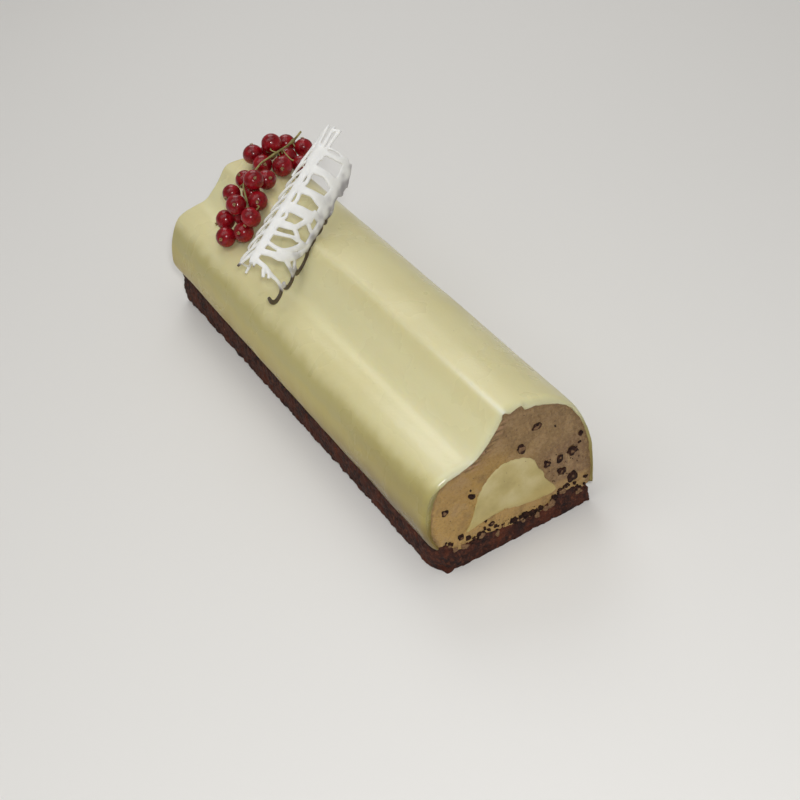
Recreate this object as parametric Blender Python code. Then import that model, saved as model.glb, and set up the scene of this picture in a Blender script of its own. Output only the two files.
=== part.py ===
"""A glazed mousse log cake, cut at one end, with a spray of currants and a curl of chocolate lace.

X runs across the log, Y along it from the cut end (-Y) to the closed end (+Y), Z up.
The origin is the middle of the underside. Everything is in metres.
"""

import math
import random

import bmesh
import bpy
import numpy as np
from mathutils import Vector, noise

# The log
LOG_LENGTH = 0.280
HALF_WIDTH = 0.043
SHELF_HEIGHT = 0.0526
RIDGE_HEIGHT = 0.0707
RIDGE_DRIFT = 0.0025  # the ridge runs this far to the left from the cut end to the closed end
FRONT = -LOG_LENGTH / 2
BACK = LOG_LENGTH / 2
GAP = 0.0003  # between pieces that touch

# The glaze
GLAZE_THICKNESS = 0.003
GLAZE_FOOT = (0.0165, 0.0100)  # the height of its lower edge on the left and on the right
FOOT_TUCK = 0.0030
LIP_LENGTH = 0.0045  # the edge at the cut is rounded over this length
LIP_INSET = 0.0022
END_RADIUS = 0.0062
OUTLINE_POINTS = 43
LONG_STATIONS = 6

# The sponge under the mousse
SPONGE_LEFT = -0.0367
SPONGE_RIGHT = 0.0388
SPONGE_BACK = BACK - 0.0022
SPONGE_RIM = (0.0158, 0.0092)  # height along the left side and along the right side
SPONGE_TOP = [  # its uneven top from left to right; the mousse lies on the same line
    (-0.0332, 0.0158),
    (-0.0302, 0.0112),
    (-0.0250, 0.0104),
    (-0.0140, 0.0119),
    (-0.0060, 0.0108),
    (0.0040, 0.0091),
    (0.0150, 0.0094),
    (0.0203, 0.0108),
    (0.0234, 0.0131),
    (0.0275, 0.0131),
    (0.0315, 0.0108),
    (0.0350, 0.0092),
]
CRUMB_DEPTH = 0.0011
CRUMB_CELL = 0.0048

# The cut face and what shows in it
FACE_SET_BACK = 0.0009
CORE_END = BACK - 0.012
CHIP_PROUD = 0.0007

# The lace curl, a part of a tube that leans on the shelf and on the ridge
CURL_NEAR = Vector((-0.0318, 0.0336, 0.0615))  # the tube's axis at its low end
CURL_FAR = Vector((0.0328, 0.0648, 0.0902))
CURL_RADIUS = 0.0135

STEM_RADIUS = 0.00075


def through(points, per_span, closed=False):
    """Points on a smooth curve through the given ones, which may have any number of coordinates."""
    known = [np.array(point, float) for point in points]
    count = len(known)
    spans = count if closed else count - 1
    found = []
    for span in range(spans):
        if closed:
            a, b, c, d = (known[(span + k) % count] for k in (-1, 0, 1, 2))
        else:
            b, c = known[span], known[span + 1]
            a = known[span - 1] if span else 2 * b - c
            d = known[span + 2] if span + 2 < count else 2 * c - b
        for step in range(per_span):
            t = step / per_span
            found.append(
                0.5
                * (
                    2 * b
                    + (c - a) * t
                    + (2 * a - 5 * b + 4 * c - d) * t**2
                    + (3 * b - a - 3 * c + d) * t**3
                )
            )
    if not closed:
        found.append(known[-1])
    return np.array(found)


def smooth_step(value):
    value = min(max(value, 0.0), 1.0)
    return value * value * (3 - 2 * value)


def spread_evenly(points, count):
    """The same line with its points at equal steps."""
    steps = np.linalg.norm(np.diff(points, axis=0), axis=1)
    along = np.concatenate([[0], np.cumsum(steps)])
    even = np.linspace(0, along[-1], count)
    return np.stack([np.interp(even, along, points[:, axis]) for axis in (0, 1)], axis=1)


# ---------------------------------------------------------------- the log's section


def glaze_outline():
    """The outer section, from the left foot over the shelf and the ridge to the right foot."""
    points = [
        (-HALF_WIDTH + FOOT_TUCK, GLAZE_FOOT[0]),
        (-HALF_WIDTH + 0.0008, 0.0223),
        (-HALF_WIDTH, 0.0290),  # widest on the left
        (-HALF_WIDTH + 0.0014, 0.0375),
        (-0.0386, 0.0444),  # left shoulder
        (-0.0341, SHELF_HEIGHT - 0.0034),
        (-0.0286, SHELF_HEIGHT - 0.0010),
        (-0.0216, SHELF_HEIGHT),
        (-0.0146, SHELF_HEIGHT + 0.0014),  # valley
        (-0.0066, 0.0610),
        (-0.0006, RIDGE_HEIGHT - 0.0032),
        (0.0049, RIDGE_HEIGHT),
        (0.0134, RIDGE_HEIGHT - 0.0008),
        (0.0204, 0.0680),
        (0.0264, 0.0654),
        (0.0324, 0.0612),  # right shoulder
        (0.0379, 0.0546),
        (0.0414, 0.0460),
        (HALF_WIDTH, 0.0350),  # widest on the right
        (HALF_WIDTH - 0.0005, 0.0250),
        (HALF_WIDTH - 0.0014, 0.0170),
        (HALF_WIDTH - 0.0026, GLAZE_FOOT[1]),
    ]
    return spread_evenly(through(points, 8), OUTLINE_POINTS)


OUTLINE = glaze_outline()


def outline_at(y, inset):
    """The section at a place along the log, moved in by inset, as points (x, z)."""
    slope = np.gradient(OUTLINE, axis=0)
    slope /= np.linalg.norm(slope, axis=1)[:, None]
    inward = np.stack([slope[:, 1], -slope[:, 0]], axis=1)
    points = OUTLINE + inward * inset
    points[[0, -1], 1] = GLAZE_FOOT
    along = (y - FRONT) / LOG_LENGTH
    for point in points:
        raised = smooth_step((point[1] - 0.050) / 0.018)
        left_half = smooth_step((0.030 - point[0]) / 0.020)
        point[0] -= RIDGE_DRIFT * along * raised * left_half
    return points


def stations(depth):
    """Places (y, inset) of the sections of a skin that lies this deep under the outside."""
    found = []
    for degrees in (0, 30, 60):
        turn = math.radians(degrees)
        y = FRONT + LIP_LENGTH * (1 - math.cos(turn))
        lip = LIP_INSET * (1 - math.sin(turn)) if depth == 0 else 0
        found.append((y, depth + lip))
    first = FRONT + LIP_LENGTH
    last = BACK - END_RADIUS
    for step in range(LONG_STATIONS):
        found.append((first + (last - first) * step / (LONG_STATIONS - 1), depth))
    radius = END_RADIUS - depth
    for degrees in (30, 60, 90):
        turn = math.radians(degrees)
        found.append((last + radius * math.sin(turn), depth + radius * (1 - math.cos(turn))))
    return found


def core_outline(outset):
    """The section of the cream, a low arch with a spread foot, moved out by outset."""
    points = [
        (-0.0240, 0.0168),
        (-0.0203, 0.0218),
        (-0.0168, 0.0293),
        (-0.0130, 0.0358),
        (-0.0080, 0.0407),
        (-0.0004, 0.0428),
        (0.0075, 0.0419),
        (0.0128, 0.0384),
        (0.0158, 0.0336),
        (0.0173, 0.0285),
        (0.0184, 0.0238),
        (0.0203, 0.0192),
        (0.0228, 0.0160),
        (0.0185, 0.0144),
        (0.0125, 0.0148),
        (0.0062, 0.0157),
        (-0.0010, 0.0175),
        (-0.0075, 0.0184),
        (-0.0150, 0.0179),
    ]
    curve = through(points, 2, closed=True)
    slope = np.roll(curve, -1, axis=0) - np.roll(curve, 1, axis=0)
    slope /= np.linalg.norm(slope, axis=1)[:, None]
    outward = np.stack([-slope[:, 1], slope[:, 0]], axis=1)
    return curve + outward * outset


# ---------------------------------------------------------------- scene and mesh helpers


def clear_scene():
    for item in list(bpy.data.objects):
        bpy.data.objects.remove(item, do_unlink=True)


def make_material(name, colour, roughness, coat=0.0, subsurface=0.0):
    material = bpy.data.materials.new(name)
    material.use_nodes = True
    shader = material.node_tree.nodes["Principled BSDF"]
    shader.inputs["Base Color"].default_value = (*colour, 1)
    shader.inputs["Roughness"].default_value = roughness
    shader.inputs["Metallic"].default_value = 0
    shader.inputs["Coat Weight"].default_value = coat
    shader.inputs["Subsurface Weight"].default_value = subsurface
    material.diffuse_color = (*colour, 1)
    return material


def add_object(name, bm, material=None, sharp_degrees=None):
    bmesh.ops.recalc_face_normals(bm, faces=bm.faces)
    mesh = bpy.data.meshes.new(name)
    bm.to_mesh(mesh)
    bm.free()
    if material:
        mesh.materials.append(material)
    if sharp_degrees:
        mesh.shade_smooth()
        mesh.set_sharp_from_angle(angle=math.radians(sharp_degrees))
    thing = bpy.data.objects.new(name, mesh)
    bpy.context.scene.collection.objects.link(thing)
    return thing


def loft(bm, rings, closed):
    """Quads between rings of points, which each have the same number of them."""
    rows = [[bm.verts.new(point) for point in ring] for ring in rings]
    for near, far in zip(rows, rows[1:]):
        count = len(near)
        for i in range(count if closed else count - 1):
            j = (i + 1) % count
            bm.faces.new((near[i], near[j], far[j], far[i]))
    return rows


def closed_loft(rings):
    """A body from closed rings, with both ends filled."""
    bm = bmesh.new()
    rows = loft(bm, rings, closed=True)
    bm.faces.new(rows[0])
    bm.faces.new(rows[-1])
    return bm


def apply_boolean(target, operation, other=None, collection=None, solver="EXACT"):
    modifier = target.modifiers.new("cut", "BOOLEAN")
    modifier.operation = operation
    modifier.solver = solver
    if collection:
        modifier.operand_type = "COLLECTION"
        modifier.collection = collection
    else:
        modifier.object = other
    bpy.context.view_layer.update()
    graph = bpy.context.evaluated_depsgraph_get()
    mesh = bpy.data.meshes.new_from_object(target.evaluated_get(graph))
    target.modifiers.clear()
    target.data = mesh


def fuse(target, things):
    """Joins loose pieces to target by one union, and removes them."""
    collection = bpy.data.collections.new(target.name + "_pieces")
    bpy.context.scene.collection.children.link(collection)
    for thing in things:
        bpy.context.scene.collection.objects.unlink(thing)
        collection.objects.link(thing)
    apply_boolean(target, "UNION", collection=collection, solver="MANIFOLD")
    for thing in things:
        bpy.data.objects.remove(thing, do_unlink=True)
    bpy.data.collections.remove(collection)


# ---------------------------------------------------------------- the log


def add_glaze(material):
    bm = bmesh.new()
    skins = []
    for depth in (0, GLAZE_THICKNESS):
        rings = [[(x, y, z) for x, z in outline_at(y, inset)] for y, inset in stations(depth)]
        skins.append(loft(bm, rings, closed=False))
    outer, inner = skins
    for foot in (0, -1):
        for k in range(len(outer) - 1):
            bm.faces.new((outer[k][foot], outer[k + 1][foot], inner[k + 1][foot], inner[k][foot]))
    for i in range(OUTLINE_POINTS - 1):
        bm.faces.new((outer[0][i], outer[0][i + 1], inner[0][i + 1], inner[0][i]))
    # at the closed end the glaze comes down to the top of the sponge
    feet = []
    for ring in (outer[-1], inner[-1]):
        low = [bm.verts.new((x, ring[0].co.y, z + 2 * GAP)) for x, z in SPONGE_TOP[:-1]]
        bm.faces.new([*ring, *reversed(low)])
        feet.append([ring[0], *low, ring[-1]])
    for i in range(len(feet[0]) - 1):
        bm.faces.new((feet[0][i], feet[0][i + 1], feet[1][i + 1], feet[1][i]))
    return add_object("glaze", bm, material, sharp_degrees=50)


def mousse_ring(y, inset):
    """The section of the mousse: the inside of the glaze, closed by the top of the sponge."""
    arch = outline_at(y, inset)
    under = [(x, z + GAP) for x, z in reversed(SPONGE_TOP)]
    return [(x, y, z) for x, z in [*arch, *under]]


def mousse_stations():
    skin = stations(GLAZE_THICKNESS + GAP)[3:]
    return [(FRONT + FACE_SET_BACK, skin[0][1]), *skin]


def add_mousse(material):
    mousse = add_object(
        "mousse",
        closed_loft([mousse_ring(y, inset) for y, inset in mousse_stations()]),
        material,
        sharp_degrees=40,
    )
    rings = [
        [(x, y, z) for x, z in core_outline(GAP)] for y in (FRONT - 0.01, CORE_END + GAP)
    ]
    tunnel = add_object("core_tunnel", closed_loft(rings))
    apply_boolean(mousse, "DIFFERENCE", other=tunnel)
    bpy.data.objects.remove(tunnel, do_unlink=True)
    fuse(mousse, add_chips())
    return mousse


# Where the chocolate chips show in the cut face, as (across, up, size).
CHIPS = [
    (-0.0321, 0.0330, 0.0036),
    (-0.0181, 0.0345, 0.0034),
    (-0.0185, 0.0382, 0.0018),
    (0.0087, 0.0459, 0.0042),
    (0.0174, 0.0538, 0.0038),
    (0.0264, 0.0492, 0.0020),
    (0.0382, 0.0388, 0.0026),
    (0.0329, 0.0315, 0.0050),
    (0.0264, 0.0311, 0.0038),
    (0.0199, 0.0315, 0.0038),
    (0.0265, 0.0238, 0.0046),
    (0.0312, 0.0181, 0.0048),
    (-0.0267, 0.0157, 0.0034),
    (-0.0235, 0.0135, 0.0026),
    (-0.0112, 0.0150, 0.0032),
]


def add_chips():
    rng = random.Random(7)
    chips = []
    for across, up, size in CHIPS:
        bm = bmesh.new()
        bmesh.ops.create_icosphere(bm, subdivisions=1, radius=1)
        turn = rng.uniform(0, math.tau)
        for vert in bm.verts:
            x, y, z = vert.co * rng.uniform(0.85, 1.1)
            x, z = x * math.cos(turn) - z * math.sin(turn), x * math.sin(turn) + z * math.cos(turn)
            vert.co = (
                across + x * size / 2,
                FRONT + FACE_SET_BACK + y * CHIP_PROUD,
                up + z * size / 2,
            )
        chips.append(add_object("chip", bm))
    return chips


def add_cream_core(material):
    outline = core_outline(0)
    rings = [[(x, y, z) for x, z in outline] for y in (FRONT + FACE_SET_BACK, CORE_END)]
    return add_object("cream_core", closed_loft(rings), material, sharp_degrees=40)


def crumbs(point, depth, scale=260.0):
    """An uneven offset for a crumbly face, between 0 and depth."""
    spot = Vector(point) * scale
    value = 0.5 + 0.55 * noise.noise(spot) + 0.3 * noise.noise(spot * 2.3 + Vector((7, 3, 5)))
    return depth * min(max(value, 0.0), 1.0)


def sponge_ring(y):
    """One section of the sponge, with its two crumbly sides."""
    heights = [0, 0.25, 0.5, 0.75, 1]
    left, right = [], []
    for share in heights:
        z = SPONGE_RIM[0] * share
        left.append((SPONGE_LEFT + crumbs((SPONGE_LEFT, y, z), CRUMB_DEPTH), y, z))
        z = SPONGE_RIM[1] * share
        right.append((SPONGE_RIGHT - crumbs((SPONGE_RIGHT, y, z), CRUMB_DEPTH), y, z))
    top = [(x, y, z) for x, z in SPONGE_TOP]
    return [*left, *top, *reversed(right)]


def add_sponge(material):
    count = round((SPONGE_BACK - FRONT) / CRUMB_CELL)
    rings = [sponge_ring(FRONT + (SPONGE_BACK - FRONT) * k / count) for k in range(count + 1)]
    bm = closed_loft(rings)
    ends = [face for face in bm.faces if len(face.verts) == len(rings[0])]
    for end in ends:
        push = 1 if end.calc_center_median().y < 0 else -1
        inner = bmesh.ops.inset_region(bm, faces=[end], thickness=0.0022, use_even_offset=True)
        for vert in {vert for face in inner["faces"] for vert in face.verts}:
            vert.co.y += push * crumbs(vert.co, CRUMB_DEPTH, 410.0)
        bmesh.ops.triangulate(bm, faces=[end], ngon_method="EAR_CLIP")
    return add_object("sponge_base", bm, material, sharp_degrees=35)


# ---------------------------------------------------------------- the currants and their stem

# Each currant's middle (across, along, up) and its diameter.
CURRANTS = [
    (0.022, 0.128, 0.073, 0.0095),
    (-0.012, 0.093, 0.064, 0.0095),
    (-0.003, 0.097, 0.073, 0.0092),
    (0.032, 0.127, 0.074, 0.0103),
    (0.012, 0.114, 0.075, 0.0103),
    (0.030, 0.107, 0.071, 0.0095),
    (0.038, 0.118, 0.073, 0.0100),
    (0.022, 0.121, 0.081, 0.0108),
    (0.012, 0.125, 0.077, 0.0108),
    (0.027, 0.117, 0.071, 0.0110),
    (0.020, 0.107, 0.074, 0.0108),
    (0.006, 0.097, 0.076, 0.0103),
    (-0.002, 0.106, 0.076, 0.0097),
    (-0.002, 0.092, 0.082, 0.0106),
    (-0.012, 0.102, 0.074, 0.0097),
    (-0.005, 0.087, 0.073, 0.0103),
    (-0.015, 0.090, 0.074, 0.0106),
    (-0.012, 0.080, 0.070, 0.0106),
    (-0.017, 0.084, 0.061, 0.0106),
    (-0.019, 0.100, 0.062, 0.0106),
    (-0.024, 0.091, 0.058, 0.0106),
]
# These show the dried tip of the flower to the front.
TIPS_TO_FRONT = {5, 11, 14, 17}

# The stem's route through the spray.
STEM = [
    (0.0390, 0.1190, 0.0820),
    (0.0365, 0.1200, 0.0795),
    (0.0340, 0.1210, 0.0775),
    (0.0290, 0.1170, 0.0785),
    (0.0235, 0.1145, 0.0790),
    (0.0190, 0.1125, 0.0795),
    (0.0145, 0.1100, 0.0800),
    (0.0100, 0.1085, 0.0800),
    (0.0040, 0.1040, 0.0800),
    (-0.0020, 0.1000, 0.0805),
    (-0.0065, 0.0965, 0.0790),
    (-0.0080, 0.0930, 0.0760),
    (-0.0085, 0.0910, 0.0710),
    (-0.0085, 0.0895, 0.0670),
]
STEM_KNOT = 2  # the stem is thickest at this point of its route


def surface_under(point):
    """How far a point (x, z) stands off the outside of the log, and the way out."""
    offsets = np.array(point) - OUTLINE
    distances = np.linalg.norm(offsets, axis=1)
    nearest = int(distances.argmin())
    return distances[nearest], offsets[nearest] / distances[nearest]


def settle_currants():
    """Moves the currants apart, and off the log and the stem, until each is clear of its neighbours."""
    places = [Vector(row[:3]) for row in CURRANTS]
    radii = [row[3] / 2 for row in CURRANTS]
    stem = [Vector(point) for point in through(STEM, 4)]
    for _ in range(200):
        for i, place in enumerate(places):
            for j in range(i):
                apart = place - places[j]
                short = radii[i] + radii[j] + 1.3 * GAP - apart.length
                if short > 0:
                    place += apart.normalized() * short / 2
                    places[j] -= apart.normalized() * short / 2
            for point in stem:
                apart = place - point
                short = radii[i] + STEM_RADIUS + 1.5 * GAP - apart.length
                if short > 0:
                    place += apart.normalized() * short
            distance, out = surface_under((place.x, place.z))
            short = radii[i] + 1.5 * GAP - distance
            if short > 0:
                place += Vector((out[0], 0, out[1])) * short
    return places, radii


def currant_mesh(radius, tip):
    """A currant with the small dried flower at its tip, turned from half a profile."""
    bm = bmesh.new()
    profile = [(0.0, -0.93)]
    for degrees in (-58, -28, 0, 30, 62):
        turn = math.radians(degrees)
        profile.append((math.cos(turn), math.sin(turn)))
    profile += [(0.13, 0.96), (0.17, 1.13), (0.0, 1.08)]
    verts = [bm.verts.new((across * radius, 0, up * radius)) for across, up in profile]
    edges = [bm.edges.new(pair) for pair in zip(verts, verts[1:])]
    bmesh.ops.spin(
        bm, geom=verts + edges, cent=(0, 0, 0), axis=(0, 0, 1), dvec=(0, 0, 0),
        angle=math.tau, steps=9, use_merge=True,
    )
    bmesh.ops.remove_doubles(bm, verts=bm.verts, dist=0.00001)
    turn = Vector((0, 0, 1)).rotation_difference(tip).to_matrix()
    bmesh.ops.rotate(bm, verts=bm.verts, cent=(0, 0, 0), matrix=turn)
    return bm


def add_currants(material):
    rng = random.Random(3)
    places, radii = settle_currants()
    middle = sum(places, Vector()) / len(places)
    for number, (place, radius) in enumerate(zip(places, radii), 1):
        loose = Vector([rng.gauss(0, 0.5) for _ in range(3)])
        tip = (place - middle).normalized() + loose + Vector((0, 0, 0.3))
        if number in TIPS_TO_FRONT:
            tip = Vector((-0.25, -0.8, 0.55)) + loose * 0.2
        bm = currant_mesh(radius * 0.96, tip.normalized())
        bmesh.ops.translate(bm, verts=bm.verts, vec=place)
        add_object(f"currant_{number:02d}", bm, material, sharp_degrees=50)


def add_stem(material):
    per_span = 2
    points = [Vector(point) for point in through(STEM, per_span)]
    rings = []
    for k, point in enumerate(points):
        ahead = points[min(k + 1, len(points) - 1)] - points[max(k - 1, 0)]
        radius = STEM_RADIUS * (1.35 if k == STEM_KNOT * per_span else 1)
        rings.append(flat_ring(point, ahead, Vector((0, 0, 1)), radius, radius))
    return add_object("currant_stem", closed_loft(rings), material, sharp_degrees=50)


# ---------------------------------------------------------------- the lace curl


def flat_ring(point, ahead, out, half_width, half_thickness, sides=6):
    """A section round a strand that runs ahead, flattened along out."""
    ahead = ahead.normalized()
    across = ahead.cross(out).normalized()
    out = across.cross(ahead)
    ring = []
    for k in range(sides):
        turn = math.tau * k / sides
        ring.append(
            point
            + across * (half_width * math.cos(turn))
            + out * (half_thickness * math.sin(turn))
        )
    return ring


def on_curl(along, degrees, lift=0.0):
    """A point on the curl: how far along its axis, and the angle up from its right side."""
    axis = (CURL_FAR - CURL_NEAR).normalized()
    side = axis.cross(Vector((0, 0, 1))).normalized()
    up = side.cross(axis)
    turn = math.radians(degrees)
    out = side * math.cos(turn) + up * math.sin(turn)
    return CURL_NEAR + axis * along + out * (CURL_RADIUS + lift), out


def right_edge(along):
    """The angle at which the curl's right edge ends: it rides up where it crosses the ridge."""
    return -36 + 34 * math.exp(-(((along - 0.031) / 0.015) ** 2))


# The strands along the curl, each as (width, [(along, angle in degrees), ...]).
LONG_STRANDS = [
    (0.0042, [(0.002, 82), (0.012, 82), (0.030, 84), (0.047, 84), (0.066, 88), (0.080, 90), (0.088, 86)]),
    (0.0019, [(0.026, 93), (0.040, 99), (0.054, 102), (0.068, 104), (0.080, 102), (0.089, 94)]),
    (0.0015, [(0.004, 132), (0.018, 134), (0.034, 137), (0.052, 138), (0.070, 137), (0.080, 128)]),
    (0.0016, [(-0.001, 190), (0.020, 188), (0.042, 184), (0.060, 186), (0.072, 190)]),
    (0.0015, [(0.000, -20), (-0.003, -31), (-0.006, -31), (-0.0085, -20)]),  # hooks round at the low end
]
# The hoops down the right side, each as (along at the crest, along at the edge, width).
RIGHT_HOOPS = [
    (0.005, 0.000, 0.0024),
    (0.009, 0.011, 0.0026),
    (0.013, 0.019, 0.0018),
    (0.017, 0.024, 0.0020),
    (0.024, 0.026, 0.0017),
    (0.028, 0.031, 0.0022),
    (0.038, 0.044, 0.0030),
    (0.049, 0.051, 0.0024),
    (0.061, 0.060, 0.0036),
    (0.073, 0.070, 0.0024),
]
LEFT_HOOPS = 12
LEFT_HOOP_STEP = 0.0066
FINE_STRAND = 0.0015


def curl_strands():
    """All the piped strands, as (width, route)."""
    strands = list(LONG_STRANDS)
    for crest, edge, width in RIGHT_HOOPS:
        low = right_edge(edge)
        middle = (crest + edge) / 2
        route = [(crest, 84), (crest + 0.0006, 60), (middle, 34), (edge, 0.4 * low + 8), (edge, low)]
        strands.append((width, route))
    # Between two hoops the strand turns back at the right edge.
    for (_, first, _), (_, second, _) in zip(RIGHT_HOOPS, RIGHT_HOOPS[1:]):
        middle = (first + second) / 2
        low = right_edge(middle) - 7
        strands.append((FINE_STRAND, [(first, low + 9), (middle, low), (second, low + 9)]))
    # Finer hoops go down the left side, slanting towards the low end.
    slant = [(0, 88), (0.0025, 112), (0.0045, 138), (0.0050, 165), (0.0040, 190)]
    for k in range(LEFT_HOOPS):
        crest = 0.003 + LEFT_HOOP_STEP * k
        strands.append((FINE_STRAND, [(crest - back, degrees) for back, degrees in slant]))
    return strands


def add_lace(material):
    rng = random.Random(11)
    pieces = []
    for number, (width, route) in enumerate(curl_strands()):
        lift = rng.uniform(-0.00018, 0.00018)
        half_thickness = min(0.00085, 0.0005 + 0.06 * width)
        points = through(route, 2 if len(route) < 5 else 1)
        placed = [on_curl(along, degrees, lift) for along, degrees in points]
        rings = []
        for k, (point, out) in enumerate(placed):
            ahead = placed[min(k + 1, len(placed) - 1)][0] - placed[max(k - 1, 0)][0]
            rings.append(flat_ring(point, ahead, out, width / 2, half_thickness, sides=4))
        pieces.append(add_object(f"strand_{number}", closed_loft(rings), material))
    lace = pieces[0]
    lace.name = "lace_curl"
    fuse(lace, pieces[1:])
    return lace


def main():
    clear_scene()
    add_sponge(make_material("chocolate_sponge", (0.045, 0.017, 0.012), 0.85))
    add_mousse(make_material("coffee_mousse", (0.42, 0.27, 0.17), 0.7, subsurface=0.1))
    add_cream_core(make_material("pale_cream", (0.66, 0.56, 0.38), 0.6, subsurface=0.1))
    add_glaze(make_material("ivory_glaze", (0.74, 0.66, 0.42), 0.25, coat=0.4, subsurface=0.1))
    add_currants(make_material("red_currant", (0.30, 0.004, 0.010), 0.15, coat=0.6, subsurface=0.2))
    add_stem(make_material("green_stem", (0.34, 0.27, 0.07), 0.6))
    add_lace(make_material("white_chocolate", (0.86, 0.86, 0.84), 0.4, subsurface=0.1))


main()
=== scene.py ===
# Looks of the log cake: glaze, coffee mousse and chocolate sponge, with currants and a lace curl.
import math
import random

import bmesh
import bpy
import numpy as np
from mathutils import Matrix, Vector, noise


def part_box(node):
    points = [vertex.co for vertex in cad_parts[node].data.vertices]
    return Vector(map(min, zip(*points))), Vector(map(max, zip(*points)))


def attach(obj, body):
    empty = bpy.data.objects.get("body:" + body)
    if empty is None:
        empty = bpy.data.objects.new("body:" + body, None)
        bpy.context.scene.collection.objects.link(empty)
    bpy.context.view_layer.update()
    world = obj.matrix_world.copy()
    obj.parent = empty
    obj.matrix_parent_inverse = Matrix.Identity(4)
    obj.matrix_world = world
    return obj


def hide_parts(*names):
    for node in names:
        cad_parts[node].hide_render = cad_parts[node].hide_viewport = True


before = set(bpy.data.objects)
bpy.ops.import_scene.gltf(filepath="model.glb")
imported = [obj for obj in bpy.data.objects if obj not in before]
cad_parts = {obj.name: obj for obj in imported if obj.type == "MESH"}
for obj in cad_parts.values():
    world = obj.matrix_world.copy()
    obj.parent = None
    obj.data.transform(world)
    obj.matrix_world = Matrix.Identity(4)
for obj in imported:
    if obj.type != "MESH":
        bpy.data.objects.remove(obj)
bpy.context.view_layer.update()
glazeLow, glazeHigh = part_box("glaze")
spongeLow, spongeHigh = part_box("sponge_base")
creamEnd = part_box("cream_core")[1].y
front, back = glazeLow.y, glazeHigh.y


# small tools

def through(points, perSpan):
    # a smooth curve through the points, which may have any number of coordinates
    known = [np.array(point, float) for point in points]
    known = [2 * known[0] - known[1], *known, 2 * known[-1] - known[-2]]
    found = []
    for a, b, c, d in zip(known, known[1:], known[2:], known[3:]):
        for step in range(perSpan):
            t = step / perSpan
            found.append(0.5 * (2 * b + (c - a) * t + (2 * a - 5 * b + 4 * c - d) * t**2
                                + (3 * b - a - 3 * c + d) * t**3))
    return np.array([*found, known[-2]])


def smoothStep(value):
    value = np.clip(value, 0, 1)
    return value * value * (3 - 2 * value)


def eased(value):
    return float(smoothStep(value))


def spreadEvenly(points, count):
    steps = np.linalg.norm(np.diff(points, axis=0), axis=1)
    along = np.concatenate([[0], np.cumsum(steps)])
    even = np.linspace(0, along[-1], count)
    return np.stack([np.interp(even, along, points[:, axis]) for axis in range(points.shape[1])], axis=1)


def outwardOf(points):
    # the way out of a section that runs from left to right over the top
    slope = np.gradient(points, axis=0)
    slope /= np.linalg.norm(slope, axis=1)[:, None]
    return np.stack([-slope[:, 1], slope[:, 0]], axis=1)


def lumps(point, size, seed=0.0):
    return noise.noise(Vector(point) / size + Vector((seed, seed * 1.7, -seed)))


def meshPiece(name, bm, *materials, smooth=True, recalc=True):
    if recalc:
        bmesh.ops.recalc_face_normals(bm, faces=bm.faces)
    mesh = bpy.data.meshes.new(name)
    bm.to_mesh(mesh)
    bm.free()
    for material in materials:
        mesh.materials.append(material)
    if smooth:
        mesh.shade_smooth()
    piece = bpy.data.objects.new(name, mesh)
    bpy.context.scene.collection.objects.link(piece)
    return piece


def mappedGrid(bm, places):
    # a flat grid whose corners are moved to places[row][column]
    rows, columns = len(places), len(places[0])
    made = bmesh.ops.create_grid(bm, x_segments=columns - 1, y_segments=rows - 1, size=1)
    for vert in made["verts"]:
        column = round((vert.co.x + 1) / 2 * (columns - 1))
        row = round((vert.co.y + 1) / 2 * (rows - 1))
        vert.co = places[row][column]
    return made["verts"]


def closeHoles(bm):
    bmesh.ops.holes_fill(bm, edges=[edge for edge in bm.edges if edge.is_boundary])


def gridNormals(places):
    along = np.gradient(places, axis=0)
    across = np.gradient(places, axis=1)
    normals = np.cross(across, along)
    length = np.linalg.norm(normals, axis=2, keepdims=True)
    return normals / np.maximum(length, 1e-12)


def finish(piece, slot, *nodes):
    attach(piece, "root")
    if nodes:
        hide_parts(*nodes)
    return piece


# camera, floor and light

cameraSet = {
    "place": (-0.2390, -0.6372, 0.5118),
    "lookAt": (-0.0097, -0.0609, 0.0350),
    "roll": -12.2,
    "lens": 76.5,
}


def addCamera():
    camera = bpy.data.objects.new("camera", bpy.data.cameras.new("camera"))
    camera.data.lens = cameraSet["lens"]
    camera.data.sensor_width = 36
    camera.location = cameraSet["place"]
    ahead = Vector(cameraSet["lookAt"]) - camera.location
    turn = ahead.to_track_quat("-Z", "Y").to_matrix().to_4x4()
    camera.rotation_euler = (turn @ Matrix.Rotation(math.radians(cameraSet["roll"]), 4, "Z")).to_euler()
    camera.data.clip_start = 0.01
    bpy.context.scene.collection.objects.link(camera)
    bpy.context.scene.camera = camera


lightSet = {
    # name: (place, aimed at, width, watts)
    "overhead": ((0.0, 0.0, 1.10), (0, 0, 0.03), 0.80, 2.4),
    "left": ((-0.55, 0.05, 0.95), (0, 0, 0.05), 0.60, 1.4),
    "behind": ((0.30, 0.66, 0.74), (0, 0, 0.05), 0.50, 1.9),
    "lamp": ((-0.21, -0.68, 0.60), (0, 0, 0.05), 0.06, 3.1),
}
worldSet = {"colour": (1, 0.97, 0.91), "strength": 0.24}


def addLights():
    for name, (place, aim, width, watts) in lightSet.items():
        lamp = bpy.data.lights.new(name, "AREA")
        lamp.size = width
        lamp.energy = watts
        holder = bpy.data.objects.new(name, lamp)
        holder.location = place
        holder.rotation_euler = (Vector(aim) - Vector(place)).to_track_quat("-Z", "Y").to_euler()
        bpy.context.scene.collection.objects.link(holder)
    world = bpy.data.worlds.new("studio")
    world.use_nodes = True
    sky = world.node_tree.nodes["Background"]
    sky.inputs["Color"].default_value = (*worldSet["colour"], 1)
    sky.inputs["Strength"].default_value = worldSet["strength"]
    bpy.context.scene.world = world
    bpy.context.scene.view_settings.view_transform = "Standard"


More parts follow.
